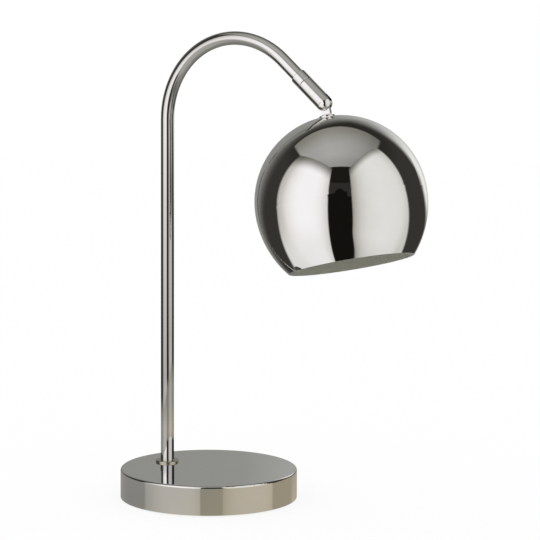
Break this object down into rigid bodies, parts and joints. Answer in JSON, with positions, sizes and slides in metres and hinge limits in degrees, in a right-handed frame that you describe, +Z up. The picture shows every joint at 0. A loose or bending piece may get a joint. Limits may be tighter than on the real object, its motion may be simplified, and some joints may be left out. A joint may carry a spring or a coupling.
{
  "type": "arc table lamp",
  "caption": "Polished metal table lamp: round weighted base, upright tube bent over at the top, swivel and tilt knuckle, and a ball shade open below.",
  "frame": {"origin": "centre of the base where its pad rests on the table", "axes": "+Z up, +X from the pole towards the end of the arm, the arm lies in the XZ plane"},
  "size_m": [0.3008, 0.1637, 0.423],
  "materials": {
    "chrome": "polished",
    "iron": "as cast",
    "steel": "zinc plated",
    "pad": "matte",
    "bush": "matte",
    "block": "matte",
    "brass": "bright",
    "earth_wire": "gloss",
    "lead": "satin",
    "washer": "matte",
    "holder": "gloss",
    "core": "glazed",
    "bulb_cap": "bright",
    "opal": "opal"
  },
  "bodies": {
    "stand": {"base_shell": "chrome", "base_weight": "iron", "base_plate": "steel", "base_pad": "pad", "base_screws": "steel", "cord_inlet_bush": "bush", "pole_foot_ring": "chrome", "pole_nipple": "steel", "pole_lock_washer": "steel", "pole_lock_nut": "steel", "terminal_block": "block", "terminal_sleeves": "brass", "terminal_screws": "steel", "terminal_fixing_screw": "steel", "earth_tag": "brass", "earth_screw": "steel", "earth_wire": "earth_wire", "arm_tube": "chrome", "arm_lead": "lead", "swivel_stem": "steel", "swivel_collar": "chrome"},
    "knuckle": {"knuckle_fork": "chrome", "swivel_grub_screw": "steel", "pivot_pins": "chrome", "friction_washers": "washer"},
    "shade": {"shade_tongue": "chrome", "shade_shell": "chrome", "shade_washer": "steel", "shade_nut": "steel", "holder_cap": "holder", "holder_core": "core", "holder_skirt": "holder", "side_contact": "brass", "centre_contact": "brass", "bulb_cap": "bulb_cap", "bulb_glass": "opal", "shade_lead": "lead"}
  },
  "joints": [
    {"name": "arm_swivel", "type": "hinge", "parent": "stand", "child": "knuckle", "pos_m": [0.12135, 0, 0.36337], "axis": [-0.7694, 0, 0.6388], "range_deg": [-170, 150]},
    {"name": "shade_tilt", "type": "hinge", "parent": "knuckle", "child": "shade", "pos_m": [0.12135, 0, 0.36337], "axis": [-0.1109, 0.9848, -0.1336], "range_deg": [-125.4, 54.6]}
  ]
}
